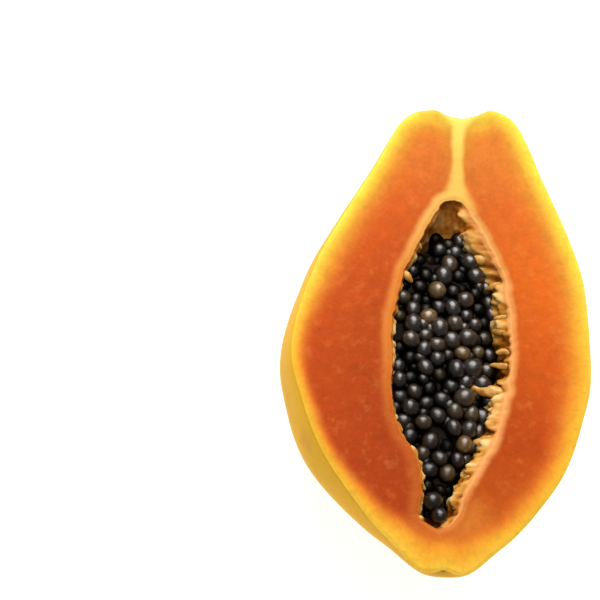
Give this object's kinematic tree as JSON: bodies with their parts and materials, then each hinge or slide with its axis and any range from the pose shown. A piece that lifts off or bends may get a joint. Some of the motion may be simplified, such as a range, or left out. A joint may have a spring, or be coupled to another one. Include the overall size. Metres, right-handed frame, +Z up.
{
  "type": "papaya half",
  "caption": "Half a ripe papaya cut lengthwise, lying on its back: orange flesh with a yellow rim round a spindle cavity heaped with black seeds.",
  "frame": {"origin": "centre of the bounding box in X and Y, on the resting spot", "axes": "+Z up out of the cut face, +Y along the fruit towards its stem end"},
  "size_m": [0.1129, 0.1749, 0.0622],
  "materials": {
    "papaya_flesh": "moist satin",
    "papaya_seeds": "wet gloss"
  },
  "bodies": {
    "root": {"papaya_half": "papaya_flesh", "seeds": "papaya_seeds"}
  },
  "joints": []
}
